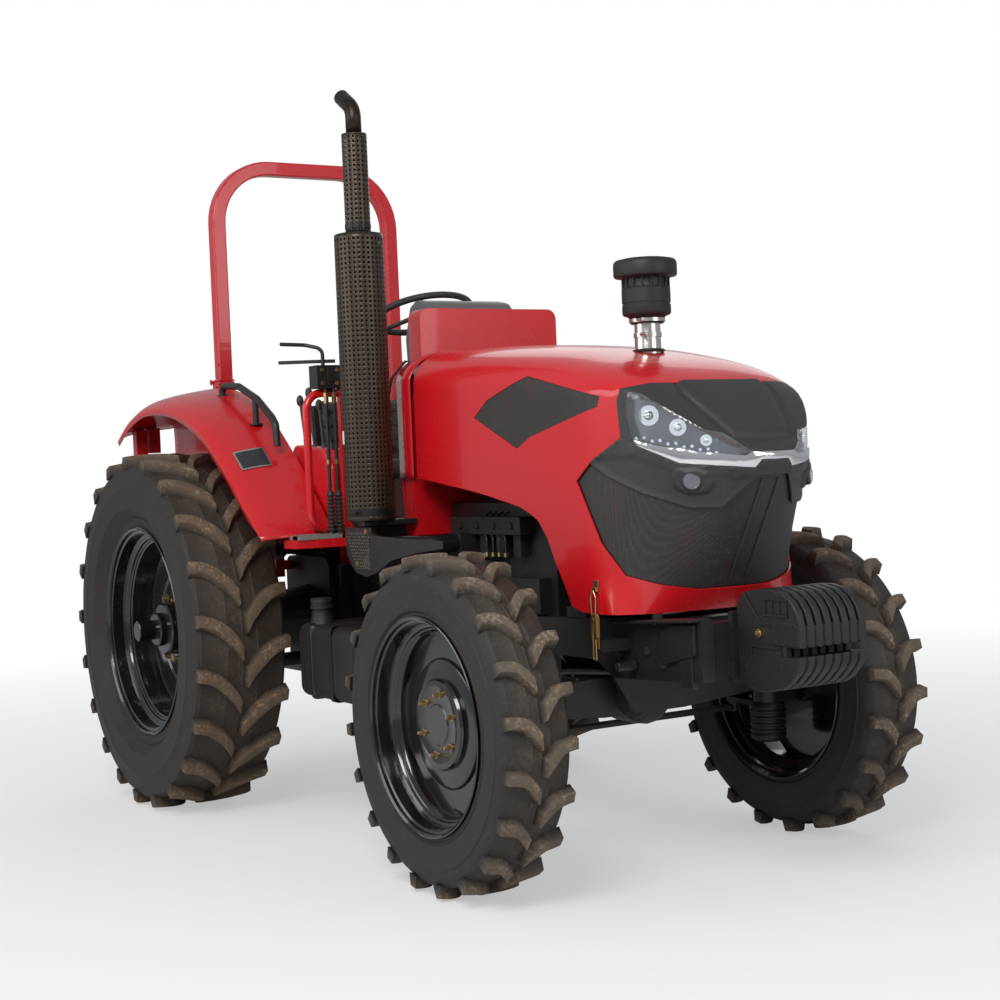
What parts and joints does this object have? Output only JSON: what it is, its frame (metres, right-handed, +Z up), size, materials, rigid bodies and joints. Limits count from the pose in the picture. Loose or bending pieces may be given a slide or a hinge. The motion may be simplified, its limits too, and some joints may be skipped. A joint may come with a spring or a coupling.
{
  "type": "farm tractor",
  "caption": "Four-wheel-drive farm tractor with a tilting hood, fold-down roll-over hoop, three-point linkage, upright silencer and front weights.",
  "frame": {"origin": "on the ground at the middle of the overall length and width", "axes": "+X forward, +Y to the driver's left, +Z up"},
  "size_m": [3.975, 1.956, 2.67],
  "materials": {
    "red_paint": "gloss signal red paint",
    "black_paint": "semi-gloss black paint",
    "gloss_black_rim": "gloss black paint",
    "tyre_rubber": "dusty moulded tyre rubber",
    "nose_plastic": "textured dark grey moulding",
    "lamp_lens": "clear lens over silver reflectors",
    "bright_trim": "bright chrome strip",
    "mesh_steel": "dusty black perforated sheet",
    "guard_steel": "bronze-black perforated sheet",
    "cast_iron": "painted casting",
    "tank_plastic": "matt black moulding",
    "seat_vinyl": "black vinyl",
    "grey_plastic": "grey moulding",
    "clear_panel": "clear panel in a rubber edge",
    "rubber": "moulded rubber",
    "zinc": "yellow zinc plate"
  },
  "bodies": {
    "root": {"battery_box": "tank_plastic", "control_linkage": "black_paint", "cowl": "red_paint", "dashboard": "grey_plastic", "drawbar": "black_paint", "engine_block": "cast_iron", "exhaust_elbow": "gloss_black_rim", "exhaust_tip": "gloss_black_rim", "fender_handles": "rubber", "fenders": "red_paint", "front_axle": "cast_iron", "front_frame": "black_paint", "front_weights": "black_paint", "fuel_tank": "tank_plastic", "hood_latches": "zinc", "lever_console": "black_paint", "lift_housing": "cast_iron", "platform": "red_paint", "radiator": "black_paint", "rear_axle_case": "cast_iron", "rear_lamps": "lamp_lens", "rops_posts": "red_paint", "seat_base": "black_paint", "seat_cushion": "seat_vinyl", "side_brackets": "black_paint", "side_posts": "red_paint", "side_screens": "clear_panel", "silencer_guard": "guard_steel", "steering_column": "black_paint", "top_link_bracket": "black_paint", "transmission_case": "cast_iron"},
    "hood": {"air_precleaner": "gloss_black_rim", "chrome_trim": "bright_trim", "grille": "mesh_steel", "headlamps": "lamp_lens", "hood_shell": "red_paint", "nose_cap": "nose_plastic", "nose_fascia": "nose_plastic", "side_vents": "mesh_steel"},
    "front_wheel_left": {"front_tyre_left": "tyre_rubber", "front_wheel_left": "gloss_black_rim"},
    "front_wheel_right": {"front_tyre_right": "tyre_rubber", "front_wheel_right": "gloss_black_rim"},
    "knuckle_left": {"knuckle_left": "cast_iron"},
    "knuckle_right": {"knuckle_right": "cast_iron"},
    "lift_arms": {"lift_arms": "black_paint"},
    "lift_rods": {"lift_rods": "black_paint"},
    "lower_links": {"lower_links": "black_paint"},
    "rear_wheel_left": {"rear_tyre_left": "tyre_rubber", "rear_wheel_left": "gloss_black_rim"},
    "rear_wheel_right": {"rear_tyre_right": "tyre_rubber", "rear_wheel_right": "gloss_black_rim"},
    "rops_hoop": {"rops_hoop": "red_paint"},
    "steering_wheel": {"steering_wheel": "black_paint"},
    "tie_rod": {"tie_rod": "black_paint"}
  },
  "joints": [
    {"name": "rear_wheel_right_spin", "type": "hinge", "parent": "root", "child": "rear_wheel_right", "pos_m": [-1.0255, -0.789, 0.7075], "axis": [0, 1, 0], "continuous": true},
    {"name": "rear_wheel_left_spin", "type": "hinge", "parent": "root", "child": "rear_wheel_left", "pos_m": [-1.0255, 0.789, 0.7075], "axis": [0, 1, 0], "continuous": true},
    {"name": "steer_right", "type": "hinge", "parent": "root", "child": "knuckle_right", "pos_m": [1.0245, -0.56, 0.525], "axis": [0, 0, 1], "range_deg": [-30, 30]},
    {"name": "steer_left", "type": "hinge", "parent": "root", "child": "knuckle_left", "pos_m": [1.0245, 0.56, 0.525], "axis": [0, 0, 1], "range_deg": [-30, 30]},
    {"name": "front_wheel_right_spin", "type": "hinge", "parent": "knuckle_right", "child": "front_wheel_right", "pos_m": [1.0245, -0.69, 0.525], "axis": [0, 1, 0], "continuous": true},
    {"name": "front_wheel_left_spin", "type": "hinge", "parent": "knuckle_left", "child": "front_wheel_left", "pos_m": [1.0245, 0.69, 0.525], "axis": [0, 1, 0], "continuous": true},
    {"name": "tie_rod_pivot", "type": "hinge", "parent": "knuckle_right", "child": "tie_rod", "pos_m": [0.8445, -0.56, 0.42], "axis": [0, 0, 1], "range_deg": [-30, 30]},
    {"name": "steering_wheel_turn", "type": "hinge", "parent": "root", "child": "steering_wheel", "pos_m": [-0.2875, 0, 1.913], "axis": [-0.3024, 0, 0.9532], "range_deg": [-420, 420]},
    {"name": "hood_hinge", "type": "hinge", "parent": "root", "child": "hood", "pos_m": [0.2795, 0, 1.712], "axis": [0, -1, 0], "range_deg": [0, 50]},
    {"name": "rops_fold", "type": "hinge", "parent": "root", "child": "rops_hoop", "pos_m": [-1.3675, 0, 1.718], "axis": [0, -1, 0], "range_deg": [0, 105]},
    {"name": "lift_arm_turn", "type": "hinge", "parent": "root", "child": "lift_arms", "pos_m": [-1.0855, 0, 1], "axis": [0, 1, 0], "range_deg": [-20, 38]},
    {"name": "lower_link_turn", "type": "hinge", "parent": "root", "child": "lower_links", "pos_m": [-1.1455, 0, 0.52], "axis": [0, 1, 0], "range_deg": [-20, 38]},
    {"name": "lift_rod_turn", "type": "hinge", "parent": "lift_arms", "child": "lift_rods", "pos_m": [-1.4055, 0, 1], "axis": [0, 1, 0], "range_deg": [-38, 20]}
  ],
  "couplings": [
    {"joint": "steer_left", "follows": "steer_right", "ratio": 1},
    {"joint": "tie_rod_pivot", "follows": "steer_right", "ratio": -1},
    {"joint": "steering_wheel_turn", "follows": "steer_right", "ratio": 14},
    {"joint": "lower_link_turn", "follows": "lift_arm_turn", "ratio": 1},
    {"joint": "lift_rod_turn", "follows": "lift_arm_turn", "ratio": -1}
  ]
}
